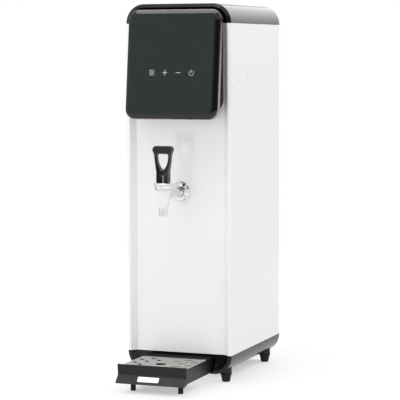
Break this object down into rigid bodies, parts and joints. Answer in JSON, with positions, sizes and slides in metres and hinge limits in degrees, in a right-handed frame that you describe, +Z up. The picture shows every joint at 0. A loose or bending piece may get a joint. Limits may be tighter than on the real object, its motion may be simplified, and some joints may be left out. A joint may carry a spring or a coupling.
{
  "type": "water boiler",
  "caption": "Slim counter-top water boiler: white steel column on a black plinth, leaning touch display, lever tap over a pull-out drip tray with a slotted grate.",
  "frame": {"origin": "on the table, under the middle of the whole object's box", "axes": "+Z up, +Y from the front to the back, +X to the right of a person facing the tap"},
  "size_m": [0.2, 0.4406, 0.678],
  "materials": {
    "white_panel": "smooth white enamel on sheet steel, soft gloss",
    "black_gloss": "polished black ABS moulding",
    "black_satin": "fine-textured black moulding",
    "rubber": "matt black rubber",
    "black_glass": "opaque black toughened glass with a polished rounded edge",
    "rose_metal": "rose-gold anodised, fine brushed",
    "stainless": "brushed stainless steel",
    "chrome": "polished chrome plate",
    "brass": "turned brass",
    "zinc_plate": "zinc-plated steel",
    "foam": "closed-cell insulating foam",
    "silicone": "translucent milky silicone",
    "circuit_board": "green solder mask",
    "aluminium": "extruded aluminium",
    "nylon": "natural nylon moulding",
    "blank_plate": "blank white plate"
  },
  "bodies": {
    "boiler": {"base_plate": "zinc_plate", "base_plinth": "black_gloss", "board_bracket": "zinc_plate", "body_wrap": "white_panel", "cable_gland": "black_satin", "cutout_thermostat": "nylon", "display_bezel": "rose_metal", "display_cable": "rubber", "display_glass": "black_glass", "display_housing": "black_gloss", "drain_fitting": "nylon", "drain_hose": "silicone", "foot_front_left": "rubber", "foot_front_right": "rubber", "foot_rear_left": "rubber", "foot_rear_right": "rubber", "heat_sink": "aluminium", "heater_flange": "stainless", "heating_element": "stainless", "inlet_hose": "silicone", "inlet_nut": "brass", "inlet_valve": "nylon", "level_probe": "stainless", "main_board": "circuit_board", "outlet_hose": "silicone", "power_switch_housing": "black_satin", "rear_panel": "white_panel", "rear_screw_1": "zinc_plate", "rear_screw_2": "zinc_plate", "rear_screw_3": "zinc_plate", "rear_screw_4": "zinc_plate", "rear_screw_5": "zinc_plate", "rear_screw_6": "zinc_plate", "tank_insulation": "foam", "tank_lid": "stainless", "tank_stand": "zinc_plate", "tap_body": "chrome", "tap_bonnet": "chrome", "tap_flange": "chrome", "tap_lock_nut": "brass", "tap_spring": "stainless", "tap_washer": "silicone", "temperature_sensor": "stainless", "terminal_block": "nylon", "top_cap": "black_gloss", "touch_board": "circuit_board", "valve_coil": "black_satin", "vent_hose": "silicone", "water_tank": "stainless"},
    "tap_stem": {"tap_stem": "brass", "tap_seat_cup": "silicone", "tap_pivot_pin": "stainless"},
    "tap_handle": {"tap_handle": "black_satin"},
    "drip_tray": {"drip_tray": "black_satin", "tray_foot_left": "rubber", "tray_foot_right": "rubber", "tray_label_plate": "blank_plate"},
    "drip_grate": {"drip_grate": "stainless"},
    "switch_rocker": {"power_switch_rocker": "black_gloss"},
    "drain_cap": {"drain_cap": "black_satin"}
  },
  "joints": [
    {"name": "stem_lift", "type": "slide", "parent": "boiler", "child": "tap_stem", "axis": [0, 0, 1], "range_m": [0, 0.005], "deforming": ["tap_spring"]},
    {"name": "handle_tilt", "type": "hinge", "parent": "tap_stem", "child": "tap_handle", "pos_m": [0, -0.1515, 0.3715], "axis": [1, 0, 0], "range_deg": [0, 40], "stiffness_Nm_per_rad": 0.6, "springref_deg": -11.46},
    {"name": "tray_slide", "type": "slide", "parent": "boiler", "child": "drip_tray", "axis": [0, -1, 0], "range_m": [0, 0.075]},
    {"name": "grate_lift", "type": "slide", "parent": "drip_tray", "child": "drip_grate", "axis": [0, 0, 1], "range_m": [0, 0.06]},
    {"name": "switch_rock", "type": "hinge", "parent": "boiler", "child": "switch_rocker", "pos_m": [-0.055, 0.1935, 0.13], "axis": [1, 0, 0], "range_deg": [0, 16]},
    {"name": "drain_cap_turn", "type": "hinge", "parent": "boiler", "child": "drain_cap", "pos_m": [0, 0.2, 0.085], "axis": [0, 1, 0], "range_deg": [0, 1080]}
  ],
  "couplings": [
    {"joint": "stem_lift", "follows": "handle_tilt", "m_per_rad": 0.0065}
  ]
}
